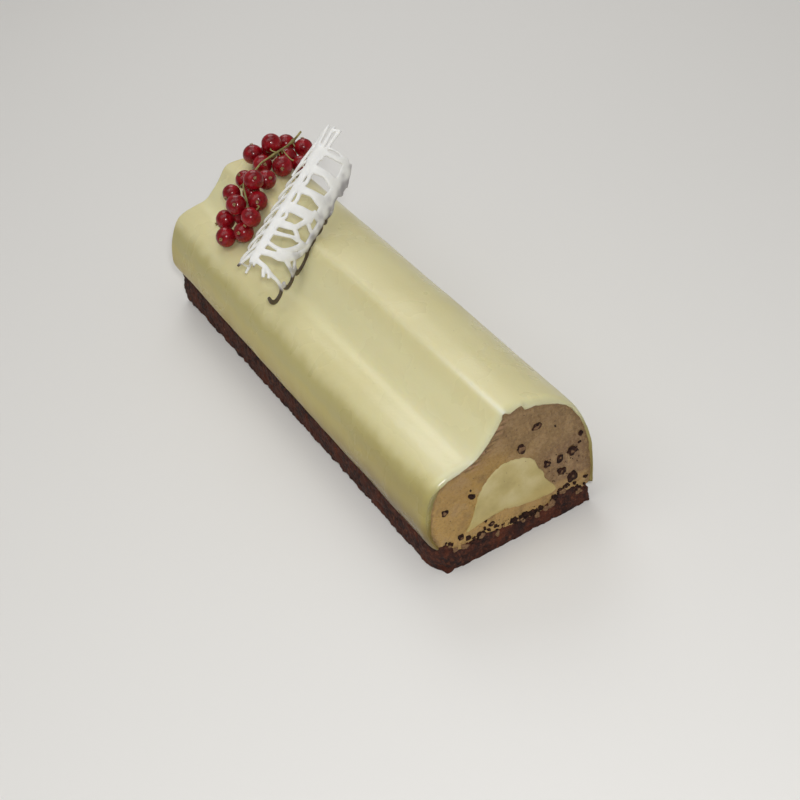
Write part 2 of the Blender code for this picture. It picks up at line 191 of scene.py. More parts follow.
def addFloor():
    bm = bmesh.new()
    bmesh.ops.create_grid(bm, x_segments=1, y_segments=1, size=3)
    floor = meshPiece("floor", bm, newMaterial("paleFloor", (0.80, 0.79, 0.77), 0.7)[0], smooth=False)


# material tools

def newMaterial(name, colour, roughness, soft=None, specular=None):
    # soft is how much light goes under the surface, and how far its red, green and blue go
    material = bpy.data.materials.new(name)
    material.use_nodes = True
    shader = material.node_tree.nodes["Principled BSDF"]
    shader.inputs["Base Color"].default_value = (*colour, 1)
    shader.inputs["Roughness"].default_value = roughness
    if soft:
        shader.inputs["Subsurface Weight"].default_value = soft[0]
        shader.inputs["Subsurface Radius"].default_value = soft[1]
        shader.inputs["Subsurface Scale"].default_value = 1
    if specular:
        shader.inputs["Specular IOR Level"].default_value = specular
    return material, material.node_tree, shader


def addNode(tree, kind, links=(), **values):
    node = tree.nodes.new("ShaderNode" + kind)
    for name, value in values.items():
        node.inputs[name.title()].default_value = value
    for source, target in links:
        tree.links.new(source, node.inputs[target])
    return node


def objectPlace(tree):
    return addNode(tree, "TexCoord").outputs["Object"]


def axesOf(tree, place):
    apart = addNode(tree, "SeparateXYZ", [(place, "Vector")])
    return [apart.outputs[axis] for axis in "XYZ"]


def ownValue(tree, name, output="Fac"):
    # a value that the piece's mesh carries at each of its points
    own = addNode(tree, "Attribute")
    own.attribute_name = name
    return own.outputs[output]


def noiseAt(tree, place, size, detail=2.0, roughness=0.5):
    # noise whose lumps are about this size in metres
    made = addNode(tree, "TexNoise", [(place, "Vector")], scale=1 / size, detail=detail, roughness=roughness)
    return made.outputs["Fac"]


def ramp(tree, value, stops):
    made = addNode(tree, "ValToRGB", [(value, "Fac")])
    elements = made.color_ramp.elements
    while len(elements) < len(stops):
        elements.new(0.5)
    for element, (position, colour) in zip(elements, stops):
        element.position = position
        element.color = (*colour, 1) if isinstance(colour, tuple) else (colour, colour, colour, 1)
    return made.outputs["Color"]


def mix(tree, share, first, second):
    made = tree.nodes.new("ShaderNodeMix")
    made.data_type = "RGBA"
    for socket, value in ((made.inputs[0], share), (made.inputs[6], first), (made.inputs[7], second)):
        if isinstance(value, tuple):
            socket.default_value = (*value, 1)
        else:
            tree.links.new(value, socket)
    return made.outputs[2]


def calculate(tree, operation, first, second=None):
    made = tree.nodes.new("ShaderNodeMath")
    made.operation = operation
    for socket, value in zip(made.inputs, (first, second)):
        if isinstance(value, (int, float)):
            socket.default_value = value
        elif value is not None:
            tree.links.new(value, socket)
    return made.outputs[0]


def times(tree, value, *others):
    for other in others:
        value = calculate(tree, "MULTIPLY", value, other)
    return value


def plus(tree, value, *others):
    for other in others:
        value = calculate(tree, "ADD", value, other)
    return value


def awayFrom(tree, value, middle):
    return calculate(tree, "ABSOLUTE", plus(tree, value, -middle))


def between(tree, value, low, high, lowOut=0.0, highOut=1.0):
    made = addNode(tree, "MapRange", [(value, "Value")])
    made.interpolation_type = "SMOOTHSTEP"
    for name, number in (("From Min", low), ("From Max", high), ("To Min", lowOut), ("To Max", highOut)):
        made.inputs[name].default_value = number
    return made.outputs[0]


def specksAt(tree, place, size, dot, patchSize, patchFrom):
    # small dots that lie in patches; dot is the stops of one from its middle outwards
    cells = addNode(tree, "TexVoronoi", [(place, "Vector")], scale=1 / size)
    patches = ramp(tree, noiseAt(tree, place, patchSize, 1), [(patchFrom, 0.0), (patchFrom + 0.08, 1.0)])
    return times(tree, ramp(tree, cells.outputs["Distance"], dot), patches)


def paint(tree, shader, colour, relief=()):
    # relief is rows of (value, depth in metres), laid over each other
    tree.links.new(colour, shader.inputs["Base Color"])
    normal = None
    for value, depth in relief:
        made = addNode(tree, "Bump", [(value, "Height")], distance=depth, strength=1)
        if normal:
            tree.links.new(normal, made.inputs["Normal"])
        normal = made.outputs["Normal"]
    if normal:
        tree.links.new(normal, shader.inputs["Normal"])


# the log's section

# the uneven top of the sponge, from left to right
spongeTop = [(-0.0385, 0.0158), (-0.0332, 0.0158), (-0.0302, 0.0112), (-0.0250, 0.0104), (-0.0140, 0.0119),
             (-0.0060, 0.0108), (0.0040, 0.0091), (0.0150, 0.0094), (0.0203, 0.0108), (0.0234, 0.0131),
             (0.0275, 0.0131), (0.0315, 0.0108), (0.0350, 0.0092), (0.0395, 0.0092)]


def spongeTopAt(across):
    return np.interp(across, *zip(*spongeTop))


logSet = {
    # from the left foot over the shelf and the ridge to the right foot
    "section": [
        (-0.0400, 0.0165), (-0.0422, 0.0223), (-0.0430, 0.0290), (-0.0416, 0.0375), (-0.0386, 0.0444),
        (-0.0341, 0.0492), (-0.0286, 0.0516), (-0.0216, 0.0526), (-0.0146, 0.0540), (-0.0066, 0.0610),
        (-0.0012, 0.0669), (0.0010, 0.0691), (0.0028, 0.0702), (0.0062, 0.0706), (0.0134, 0.0699),
        (0.0204, 0.0680), (0.0264, 0.0654), (0.0324, 0.0612), (0.0379, 0.0546), (0.0414, 0.0460),
        (0.0430, 0.0350), (0.0425, 0.0250), (0.0416, 0.0170), (0.0404, 0.0100),
    ],
    "feet": (0.0165, 0.0100),
    "ridgeDrift": 0.0025,  # the ridge runs to the left by this from the cut end to the closed end
    "endRise": 0.0020,  # the shelf swells by this at the closed end
    "lipLength": 0.0045,
    "lipDepth": 0.0012,
    "wallCorner": 0.0012,  # on the left wall the cut leaves a sharp corner, which stands in by this
    "endRadius": (0.0030, 0.0031),  # over the top, and down the two walls
    "faceSetBack": 0.0009,
    "footRise": 0.0038,  # along the left wall the glaze ends this much higher at the closed end
}
sectionLine = through(logSet["section"], 8)


def sectionAt(y, inset, count):
    # y and inset may be one number or one for each point
    points = spreadEvenly(sectionLine, count)
    points = points - outwardOf(points) * np.reshape(inset, (-1, 1))
    points[[0, -1], 1] = logSet["feet"]
    share = (y - front) / (back - front)
    raised = smoothStep((points[:, 1] - 0.050) / 0.018)
    leftHalf = smoothStep((0.030 - points[:, 0]) / 0.020)
    points[:, 0] -= logSet["ridgeDrift"] * share * raised * leftHalf
    onShelf = smoothStep((points[:, 0] + 0.0400) / 0.007) * smoothStep((-0.004 - points[:, 0]) / 0.009)
    points[:, 1] += logSet["endRise"] * smoothStep((y - 0.102) / 0.030) * onShelf * (points[:, 1] > 0.035)
    return points


def footRise(x, y):
    return logSet["footRise"] * eased((y + 0.12) / 0.25) * eased((-0.028 - x) / 0.010)


# the glaze

glazeSet = {
    "columns": 170,
    "step": 0.0013,
    "thickness": 0.0018,
    "lumps": [(0.045, 0.00055, 1.0), (0.016, 0.00014, 4.0), (0.006, 0.00003, 9.0)],  # size, height, seed
    "beadHeight": 0.0032,  # the glaze gathers over this height above its lower edge
    "beadDepth": 0.00030,
    "footWave": 0.00035,
    "runs": 0.00012,
    "fadeUp": 0.014,  # the foot's rise fades out over this height
    "endCorner": (0.0012, 0.0385),  # this near the closed end and this far out the skin is plain and thin
    "thinAtCut": 0.08,  # shares of the thickness
    "thinAtCorner": 0.1,
    "glintWidth": 0.0012,
    "endRows": 38,  # down the closed end
    "overSponge": 0.0006,  # the closed end's foot lies this far above the sponge
    "cornerBlend": 0.0045,  # where it rises to the feet of the walls
    # (across, depth) of the glaze that shows at the cut, over the top
    "edge": [(-0.036, 0.0040), (-0.030, 0.0040), (-0.022, 0.0034), (-0.0155, 0.0024), (-0.008, 0.0030),
             (0.0000, 0.0031), (0.0014, 0.0018), (0.0030, 0.0018), (0.0060, 0.0040), (0.0092, 0.0028),
             (0.0120, 0.0021), (0.0140, 0.0046), (0.0170, 0.0044), (0.024, 0.0040), (0.030, 0.0038),
             (0.0375, 0.0028)],
}


def edgeInset(x, z):
    # how far in the glaze meets the mousse at the cut
    if x < -0.036:
        inset = np.interp(z, [0.0165, 0.022, 0.030, 0.045], [0.0016, 0.0024, 0.0036, 0.0040])
    elif x > 0.0375:
        inset = np.interp(z, [0.010, 0.030, 0.050], [0.0012, 0.0016, 0.0028])
    else:
        inset = np.interp(x, *zip(*glazeSet["edge"]))
    return inset * (1 + 0.10 * lumps((x, 0, z), 0.003, 3))


def glazeSkin():
    # rows of points from the cut to the closed end and down it
    columns = glazeSet["columns"]
    outline = sectionAt(front, 0, columns)
    edge = np.array([edgeInset(x, z) for x, z in outline])
    wall = smoothStep((0.0505 - outline[:, 1]) / 0.005) * (outline[:, 0] < 0)
    lip, depth, corner = logSet["lipLength"], logSet["lipDepth"], logSet["wallCorner"]
    rows = [(front + 0.0012 - 0.0006 * wall, edge),
            (front + 0.0006 - 0.0003 * wall, edge * (1 - wall) - 0.0005 * (1 - wall) + 0.0018 * wall),
            (front + 0.0002 - 0.0001 * wall, (edge - depth + 0.0003) * (1 - wall) + (corner + 0.0001) * wall)]
    for degrees in range(0, 90, 10):
        turn = math.radians(degrees)
        inset = (edge - depth) * (1 - math.sin(turn)) * (1 - wall) + corner * math.cos(turn) ** 2 * wall
        rows.append((front + lip * (1 - math.cos(turn)), inset))
    outside = smoothStep((np.abs(outline[:, 0]) - 0.026) / 0.014)
    radius = logSet["endRadius"][0] * (1 - outside) + logSet["endRadius"][1] * outside
    first, last = front + lip, back - logSet["endRadius"][1]
    for y in np.linspace(first, last, round((last - first) / glazeSet["step"])):
        rows.append((y, 0.0))
    for degrees in range(6, 91, 7):
        turn = math.radians(degrees)
        rows.append((back - radius * (1 - math.sin(turn)), radius * (1 - math.cos(turn))))
    places, above = [], []
    side = np.where(outline[:, 0] < 0, *logSet["feet"])
    for y, inset in rows:
        points = sectionAt(y, inset, columns)
        places.append(np.stack([points[:, 0], y + 0 * points[:, 0], points[:, 1]], axis=1))
        above.append(points[:, 1] - side)
    arch = places[-1]
    spread = np.concatenate([[0], np.cumsum(np.abs(np.diff(arch[:, 0])))])
    across = arch[0, 0] + (arch[-1, 0] - arch[0, 0]) * spread / spread[-1]
    low = spongeTopAt(across) + glazeSet["overSponge"]
    # at its two corners the end's foot rises to that of the walls
    for corner in (0, -1):
        near = np.exp(-((across - across[corner]) / glazeSet["cornerBlend"]) ** 2)
        low += (arch[corner, 2] - 0.0012 - low) * near
    foot = np.stack([across, arch[:, 1], low], axis=1)
    for share in np.linspace(0, 1, glazeSet["endRows"])[1:]:
        places.append(arch + (foot - arch) * share)
        above.append(places[-1][:, 2] - foot[:, 2])
    return np.array(places), np.array(above)


def crestLine():
    # (along, across, up) of the sharpest bend between the valley and the top of the ridge
    found = []
    for y in np.linspace(front, back - 0.012, 30):
        points = sectionAt(y, 0, 500)
        heading = np.unwrap(np.arctan2(np.diff(points[:, 1]), np.diff(points[:, 0])))
        bend = np.convolve(np.diff(heading), np.ones(9) / 9, "same")
        across = points[1:-1, 0]
        bend = np.where((across > -0.010) & (across < 0.006), bend, 0)
        place = points[1 + int(np.argmin(bend))]
        found.append((y, place[0], place[1]))
    return np.array(found)


def atEndCorner(point):
    # where the closed end's foot meets the walls
    near, far = glazeSet["endCorner"]
    return point[1] > back - near and abs(point[0]) > far


def glazeRelief(point, high):
    # how far the glaze stands out here, high being the height above its lower edge
    if atEndCorner(point):
        return 0
    height = sum(depth * lumps(point, size, seed) for size, depth, seed in glazeSet["lumps"])
    if high < 0.02:
        height += glazeSet["beadDepth"] * math.exp(-((high - 0.0012) / glazeSet["beadHeight"]) ** 2 * 4)
    # shallow runs go down the walls
    run = lumps((point[0], point[1], point[2] * 0.25), 0.009, 11)
    return height + glazeSet["runs"] * run * eased((0.045 - point[2]) / 0.015)


def markGlint(piece):
    # a painted highlight: the crest beside the valley catches the light, most of all near the cut
    crest = crestLine()
    glint = piece.data.attributes.new("glint", "FLOAT", "POINT")
    for vert in piece.data.vertices:
        x, y, z = vert.co
        across, up = (np.interp(y, crest[:, 0], crest[:, axis]) for axis in (1, 2))
        near = math.hypot(x - across, z - up)
        fade = 0.25 + 0.75 * eased((-0.07 - y) / 0.06)
        glint.data[vert.index].value = math.exp(-(near / glazeSet["glintWidth"]) ** 2) * fade


def addGlaze():
    places, above = glazeSkin()
    normals = gridNormals(places)
    shaped = places.copy()
    for row in range(places.shape[0]):
        for column in range(places.shape[1]):
            point, high = places[row, column], above[row, column]
            at = point + normals[row, column] * glazeRelief(point, high)
            wave = lumps((point[0], point[1], 0), 0.011, 5)
            at[2] += max(0, 1 - high / 0.006) * glazeSet["footWave"] * wave
            at[2] += min(1, max(0, 1 - high / glazeSet["fadeUp"])) * footRise(point[0], point[1])
            shaped[row, column] = at
    bm = bmesh.new()
    mappedGrid(bm, shaped)
    piece = meshPiece("glaze_skin", bm, glazeMaterial(), recalc=False)
    markGlint(piece)
    # the skin thins out toward the cut, where the mousse lies close behind it
    group = piece.vertex_groups.new(name="body")
    thin = glazeSet["thinAtCut"]
    for vert in piece.data.vertices:
        full = eased((vert.co.y - front) / 0.006) * (1 - thin) + thin
        if atEndCorner(vert.co):
            full = glazeSet["thinAtCorner"]
        group.add([vert.index], full, "REPLACE")
    wall = piece.modifiers.new("wall", "SOLIDIFY")
    wall.vertex_group = "body"
    wall.thickness = glazeSet["thickness"]
    wall.offset = -1
    finish(piece, "ivory_glaze", "glaze")
    print("glaze", len(piece.data.vertices), "points")


def glazeMaterial():
    material, tree, shader = newMaterial("ivoryGlaze", (0.68, 0.62, 0.31), 0.3, specular=0.26,
                                         soft=(0.25, (0.0030, 0.0022, 0.0010)))
    place = objectPlace(tree)
    x, y, z = axesOf(tree, place)
    broad = noiseAt(tree, place, 0.060, 3)
    colour = ramp(tree, broad, [(0.30, (0.665, 0.605, 0.325)), (0.70, (0.700, 0.645, 0.365))])
    # painted light whitens the valley, and a painted highlight whitens the shelf near the cut most of all
    paintedValleyLight = between(tree, awayFrom(tree, x, -0.012), 0.012, 0.005)
    colour = mix(tree, times(tree, paintedValleyLight, 0.7), colour, (0.745, 0.700, 0.420))
    shelfSheenAndGloss = times(tree, between(tree, awayFrom(tree, x, -0.022), 0.012, 0.004),
                  between(tree, y, -0.060, -0.120), 0.8)
    colour = mix(tree, shelfSheenAndGloss, colour, (0.760, 0.715, 0.465))
    # the glaze is thinner and yellower toward the foot of the walls, and painted shade with a painted golden
    # reflection from below darkens it there, more on the left wall
    height = plus(tree, z, times(tree, noiseAt(tree, place, 0.014, 3), 0.006))
    side = between(tree, x, 0.010, -0.010, 0.45, 1.0)
    for high, low, shade in ((0.0540, 0.0475, (0.500, 0.445, 0.190)), (0.0440, 0.0400, (0.545, 0.465, 0.165)),
                             (0.0400, 0.0280, (0.470, 0.365, 0.095))):
        colour = mix(tree, times(tree, between(tree, height, high, low), side), colour, shade)
    # painted shade near the cut darkens the shoulder, and more so down the left wall
    paintedShadeNearCut = times(tree, between(tree, height, 0.0520, 0.0440), between(tree, y, -0.020, -0.130), 0.55)
    colour = mix(tree, paintedShadeNearCut, colour, (0.300, 0.225, 0.060))
    paintedShadeNearCut = times(tree, between(tree, height, 0.0390, 0.0260), between(tree, y, 0.010, -0.120), side, 0.85)
    colour = mix(tree, paintedShadeNearCut, colour, (0.190, 0.125, 0.026))
    # tiny specks, mostly on the shelf near the cut
    specks = specksAt(tree, place, 0.0036, [(0.045, 0.7), (0.10, 0.0)], 0.010, 0.60)
    specks = times(tree, specks, between(tree, y, -0.040, -0.100, 0.35, 1.0))
    colour = mix(tree, specks, colour, (0.36, 0.34, 0.20))
    # the painted highlight along the crest
    colour = mix(tree, times(tree, ownValue(tree, "glint"), 0.70), colour, (0.920, 0.900, 0.720))
    rough = ramp(tree, noiseAt(tree, place, 0.025, 3), [(0.35, 0.24), (0.65, 0.36)])
    tree.links.new(mix(tree, shelfSheenAndGloss, rough, (0.17, 0.17, 0.17)), shader.inputs["Roughness"])
    soft = noiseAt(tree, place, 0.0075, 2)
    grain = noiseAt(tree, place, 0.0018, 3, 0.6)
    paint(tree, shader, colour, [(soft, 0.00012), (grain, 0.00006)])
    return material


# the mousse, the cream and the chips in the cut face

mousseSet = {
    "columns": 190,
    "rows": 120,
    "underGlaze": 0.62,  # how deep the mousse starts under the glaze, as a share of the glaze at the cut
    "deep": 0.0052,  # how far it stops from the closed end
    "inSponge": 0.0016,  # its lower edge lies this far inside the sponge
    "darkEdge": 0.008,  # painted shade darkens it this near the glaze
    "rimScrapes": 0.0055,  # and the knife's scrapes are deepest this near
}
creamSet = {
    "columns": 110,
    "rows": 64,
    "proud": 0.0005,
    "middle": (-0.0012, 0.028),
    "roundedEdge": 0.0007,
    "arch": [
        (-0.0240, 0.0168), (-0.0203, 0.0218), (-0.0168, 0.0293), (-0.0130, 0.0358), (-0.0080, 0.0407),
        (-0.0004, 0.0428), (0.0075, 0.0419), (0.0128, 0.0384), (0.0158, 0.0336), (0.0173, 0.0285),
        (0.0184, 0.0238), (0.0203, 0.0192), (0.0228, 0.0160),
    ],
    "floor": [(-0.0240, 0.0168), (-0.0150, 0.0179), (-0.0075, 0.0184), (-0.0010, 0.0175), (0.0062, 0.0157),
              (0.0125, 0.0148), (0.0185, 0.0144), (0.0228, 0.0160)],
}


def rowsBetween(first, second, count):
    # rows of points from one line to another
    shares = np.linspace(0, 1, count)[:, None, None]
    return first[None] + (second - first)[None] * shares


def blockFromFace(bm, face, far):
    # the face is carried straight back to far, and closed there
    mappedGrid(bm, face)
    rim = [edge for edge in bm.edges if edge.is_boundary]
    made = bmesh.ops.extrude_edge_only(bm, edges=rim)
    for vert in (item for item in made["geom"] if isinstance(item, bmesh.types.BMVert)):
        vert.co.y = far
    closeHoles(bm)
    bmesh.ops.remove_doubles(bm, verts=bm.verts, dist=0.000005)


def mousseRelief(x, z, rim):
    # how far the cut mousse stands behind its plane; rim is 1 beside the glaze and falls away from it
    deep = 0.00045 * lumps((x, 0, z), 0.011, 2) + 0.00030 * lumps((x, 0, z), 0.0034, 6)
    deep += 0.00016 * lumps((x, 0, z), 0.0013, 8)
    # scrapes left by the knife, along the slope of the valley
    along, across = x * 0.876 + z * 0.483, z * 0.876 - x * 0.483
    slope = rim * math.exp(-((x + 0.008) / 0.014) ** 2)
    deep += (0.00010 + 0.00060 * slope) * lumps((along * 0.14, 0, across), 0.0011, 3)
    pit = lumps((x, 0, z), 0.0021, 12)
    if pit > 0.38:
        deep += 0.0011 * (pit - 0.38)
    return deep


def addMousse():
    columns = mousseSet["columns"]
    inset = np.array([edgeInset(x, z) * mousseSet["underGlaze"] for x, z in sectionAt(front, 0, columns)])
    arch = sectionAt(front, inset, columns)
    under = spreadEvenly(np.array(spongeTop[1:-1]), columns)
    left, right = (np.minimum(1, 6 * np.linspace(start, 1 - start, columns)) for start in (0, 1))
    under[:, 1] -= mousseSet["inSponge"] * left * right
    flat = rowsBetween(arch, under, mousseSet["rows"])
    face = np.zeros((*flat.shape[:2], 3))
    plane = front + logSet["faceSetBack"]
    for row in range(flat.shape[0]):
        for column in range(columns):
            x, z = flat[row, column]
            fromRim = np.linalg.norm(flat[row, column] - arch[column])
            rim = math.exp(-(fromRim / mousseSet["rimScrapes"]) ** 2)
            face[row, column] = (x, plane + mousseRelief(x, z, rim), z)
    bm = bmesh.new()
    blockFromFace(bm, face, back - mousseSet["deep"])
    layer = bm.verts.layers.float.new("fromGlaze")
    for vert in bm.verts:
        near = np.linalg.norm(arch - (vert.co.x, vert.co.z), axis=1).min()
        vert[layer] = min(near / mousseSet["darkEdge"], 1.0)
    piece = meshPiece("mousse_body", bm, mousseMaterial())
    finish(piece, "coffee_mousse", "mousse")
    print("mousse", len(piece.data.vertices), "points")


def mousseMaterial():
    material, tree, shader = newMaterial("coffeeMousse", (0.40, 0.26, 0.11), 0.62,
                                         soft=(0.15, (0.0020, 0.0012, 0.0006)))
    place = objectPlace(tree)
    x, _, z = axesOf(tree, place)
    wobble = noiseAt(tree, place, 0.016, 2)
    # paler and more golden at the lower left, darker and browner at the upper right: painted shade across the cut
    # face
    paintedShadeAcross = plus(tree, times(tree, x, 10.0), times(tree, z, 9.0), times(tree, wobble, 0.35))
    colour = ramp(tree, paintedShadeAcross, [(0.10, (0.440, 0.272, 0.082)), (0.38, (0.355, 0.212, 0.066)),
                              (0.70, (0.240, 0.144, 0.056)), (0.95, (0.222, 0.134, 0.057))])
    # golden right over the cream
    gold = times(tree, between(tree, awayFrom(tree, x, -0.010), 0.016, 0.004),
                 between(tree, z, 0.054, 0.042), 0.55)
    colour = mix(tree, gold, colour, (0.42, 0.250, 0.055))
    # pinkish beside the cream on the right
    pink = times(tree, between(tree, x, 0.012, 0.022), between(tree, z, 0.044, 0.034), 0.85)
    colour = mix(tree, pink, colour, (0.205, 0.116, 0.056))
    # a paler layer under the cream
    low = between(tree, plus(tree, z, times(tree, wobble, 0.004)), 0.0215, 0.0180)
    colour = mix(tree, times(tree, low, 0.7), colour, (0.44, 0.275, 0.095))
    patch = noiseAt(tree, place, 0.0065, 3)
    colour = mix(tree, ramp(tree, patch, [(0.52, 0.0), (0.68, 0.5)]), colour, (0.375, 0.245, 0.120))
    colour = mix(tree, ramp(tree, patch, [(0.32, 0.5), (0.48, 0.0)]), colour, (0.175, 0.100, 0.040))
    # painted shade darkens it beside the glaze, and pinkish and dark streaks run along the valley's slope
    fromGlaze = ownValue(tree, "fromGlaze")
    paintedEdgeShade = plus(tree, fromGlaze, times(tree, noiseAt(tree, place, 0.003, 3), 0.35))
    colour = mix(tree, between(tree, paintedEdgeShade, 0.62, 0.32, 0.0, 0.62), colour, (0.165, 0.092, 0.036))
    turned = addNode(tree, "Mapping", [(place, "Vector")], rotation=(0, math.radians(28.9), 0),
                     scale=(0.10, 0.3, 1))
    streak = noiseAt(tree, turned.outputs["Vector"], 0.0011, 2)
    slope = times(tree, between(tree, fromGlaze, 1.0, 0.25),
                  between(tree, awayFrom(tree, x, -0.007), 0.017, 0.006))
    for stops, shade in (([(0.52, 0.0), (0.62, 0.8)], (0.38, 0.22, 0.13)),
                         ([(0.34, 0.9), (0.44, 0.0)], (0.10, 0.050, 0.020))):
        colour = mix(tree, times(tree, ramp(tree, streak, stops), slope), colour, shade)
    fine = noiseAt(tree, place, 0.0016, 4, 0.65)
    colour = mix(tree, ramp(tree, fine, [(0.48, 0.0), (0.72, 0.55)]), colour, (0.40, 0.265, 0.110))
    colour = mix(tree, ramp(tree, fine, [(0.28, 0.6), (0.44, 0.0)]), colour, (0.150, 0.080, 0.028))
    specks = specksAt(tree, place, 0.0030, [(0.10, 1.0), (0.17, 0.0)], 0.006, 0.54)
    colour = mix(tree, specks, colour, (0.09, 0.040, 0.018))
    pores = addNode(tree, "TexVoronoi", [(place, "Vector")], scale=1 / 0.0012)
    paint(tree, shader, colour, [(pores.outputs["Distance"], 0.00030), (fine, 0.00025)])
    return material


def addCream():
    columns = creamSet["columns"]
    arch = spreadEvenly(through(creamSet["arch"], 6), columns)
    floor = spreadEvenly(through(creamSet["floor"], 6), columns)
    for line in (arch, floor):
        for k in range(columns):
            away = line[k] - creamSet["middle"]
            away /= np.linalg.norm(away)
            x, z = line[k]
            torn = 0.00055 + 0.0012 * eased((x - 0.012) / 0.006)
            line[k] += away * (torn * lumps((x, 0, z), 0.0045, 4) + 0.00020 * lumps((x, 0, z), 0.0014, 7))
    flat = rowsBetween(arch, floor, creamSet["rows"])
    plane = front + logSet["faceSetBack"] - creamSet["proud"]
    face = np.zeros((*flat.shape[:2], 3))
    for row in range(flat.shape[0]):
        for column in range(columns):
            x, z = flat[row, column]
            rim = min(row, flat.shape[0] - 1 - row, column, columns - 1 - column)
            deep = 0.00025 * lumps((x, 0, z), 0.011, 5) + 0.00007 * lumps((x, 0, z), 0.0018, 9)
            deep += creamSet["roundedEdge"] * math.exp(-rim / 1.4)
            face[row, column] = (x, plane + deep, z)
    bm = bmesh.new()
    blockFromFace(bm, face, creamEnd)
    piece = meshPiece("cream_body", bm, creamMaterial())
    finish(piece, "pale_cream", "cream_core")
    print("cream", len(piece.data.vertices), "points")


def creamMaterial():
    material, tree, shader = newMaterial("paleCream", (0.62, 0.52, 0.30), 0.55,
                                         soft=(0.2, (0.0025, 0.0018, 0.0010)))
    place = objectPlace(tree)
    broad = noiseAt(tree, place, 0.012, 3)
    colour = ramp(tree, broad, [(0.34, (0.400, 0.315, 0.120)), (0.50, (0.490, 0.400, 0.165)),
                                (0.68, (0.570, 0.485, 0.240))])
    height = plus(tree, axesOf(tree, place)[2], times(tree, broad, 0.006))
    foot = times(tree, between(tree, height, 0.0260, 0.0200), 0.5)
    colour = mix(tree, foot, colour, (0.500, 0.375, 0.125))
    specks = specksAt(tree, place, 0.0034, [(0.05, 0.8), (0.12, 0.0)], 0.0085, 0.58)
    colour = mix(tree, specks, colour, (0.25, 0.16, 0.07))
    paint(tree, shader, colour, [(noiseAt(tree, place, 0.0014, 4, 0.6), 0.00022)])
    return material


chipSet = {
    # (across, up, size, how much of its middle is filled with mousse) of the chips in the cut face
    "chips": [
        (-0.0321, 0.0330, 0.0036, 0.5), (-0.0181, 0.0345, 0.0034, 0.0), (-0.0185, 0.0382, 0.0018, 0.0),
        (0.0087, 0.0459, 0.0043, 0.6), (0.0174, 0.0538, 0.0042, 0.6), (0.0264, 0.0492, 0.0012, 0.0),
        (0.0382, 0.0388, 0.0026, 0.0), (0.0329, 0.0315, 0.0050, 0.35), (0.0264, 0.0311, 0.0038, 0.3),
        (0.0199, 0.0315, 0.0040, 0.3), (0.0265, 0.0238, 0.0046, 0.35), (0.0312, 0.0181, 0.0048, 0.2),
        (-0.0267, 0.0157, 0.0034, 0.3), (-0.0235, 0.0135, 0.0026, 0.0), (-0.0112, 0.0150, 0.0032, 0.3),
        (-0.0136, 0.0176, 0.0016, 0.0), (0.0371, 0.0344, 0.0016, 0.0), (0.0378, 0.0140, 0.0022, 0.0),
        (0.0320, 0.0133, 0.0022, 0.0),
    ],
    "specks": 26,  # small bits round the chips on the right
    "heaps": 30,  # crumbs lie in heaps along the sponge
    "smears": 16,  # mousse pressed into the sponge below its edge
}


def addChips():
    rng = random.Random(21)
    spots = [(x, z, size, filled, 4) for x, z, size, filled in chipSet["chips"]]
    for _ in range(chipSet["specks"]):
        x, z = rng.uniform(0.018, 0.036), rng.uniform(0.020, 0.034)
        spots.append((x, z, rng.uniform(0.0004, 0.0008), 0, 2))
    for _ in range(chipSet["heaps"]):
        middle, spread = rng.uniform(-0.035, 0.037), rng.uniform(0.0006, 0.0022)
        for _ in range(rng.randint(2, 8)):
            x = min(max(rng.gauss(middle, spread), -0.0355), 0.0375)
            size = 0.0006 + 0.0026 * rng.random() ** 2
            z = spongeTopAt(x) + rng.gauss(0.0002, 0.0012) * (1.2 - 200 * size)
            spots.append((x, z, size, 0, 2))
    for _ in range(chipSet["smears"]):
        x = -0.0345 + 0.071 * rng.random() ** 1.5
        size = rng.uniform(0.0012, 0.0036)
        z = spongeTopAt(x) - abs(rng.gauss(0.0004, 0.0014))
        spots.append((x, z, size, 3, 3))
    bm = bmesh.new()
    layer = bm.verts.layers.float.new("filled")
    for x, z, size, filled, fineness in spots:
        made = bmesh.ops.create_icosphere(bm, subdivisions=fineness, radius=0.5)
        seed = rng.uniform(0, 50)
        turn = Matrix.Rotation(rng.uniform(0, math.tau), 3, "Y")
        stretch = rng.uniform(0.7, 1.0)
        for vert in made["verts"]:
            fromMiddle = math.hypot(vert.co.x, vert.co.z) / 0.5
            inner = filled * (1 + 0.9 * lumps(vert.co, 0.35, seed))
            vert[layer] = eased((inner - fromMiddle) / 0.25 + 0.5) if filled else 0.0
            rough = 1 + 0.75 * lumps(vert.co, 0.5, seed)
            at = turn @ (Vector((vert.co.x * stretch, vert.co.y, vert.co.z)) * rough)
            proud = at.y * min(size * 0.5, 0.0014) * (1 - 0.5 * vert[layer])
            level = front + (0.0004 if filled > 1 else logSet["faceSetBack"])
            vert.co = (x + at.x * size, level + proud, z + at.z * size)
    piece = meshPiece("chocolate_chips", bm, chipMaterial())
    finish(piece, "chocolate_sponge", "mousse")
    print("chips", len(spots))


def chipMaterial():
    material, tree, shader = newMaterial("darkChips", (0.05, 0.022, 0.014), 0.6, specular=0.12)
    fine = noiseAt(tree, objectPlace(tree), 0.0010, 3)
    chocolate = ramp(tree, fine, [(0.35, (0.012, 0.005, 0.004)), (0.60, (0.036, 0.013, 0.008)),
                                  (0.78, (0.12, 0.055, 0.028))])
    filling = ramp(tree, fine, [(0.35, (0.155, 0.085, 0.045)), (0.65, (0.26, 0.155, 0.080))])
    paint(tree, shader, mix(tree, ownValue(tree, "filled"), chocolate, filling), [(fine, 0.0002)])
    return material


# the sponge

spongeSet = {
    "step": 0.00075,
    "rows": 22,
    "corner": 0.0012,
    "crumb": 0.0011,
    # the crumb stands out past the glaze's foot along the left side and at the closed end
    "leftOut": 0.0044,
    "endOut": 0.0034,
    "endBand": 0.003,  # the two ends reach this far along the sides
    "rightTop": 0.0092,
    "underFoot": 0.0024,  # the left side goes this far up behind the glaze
}


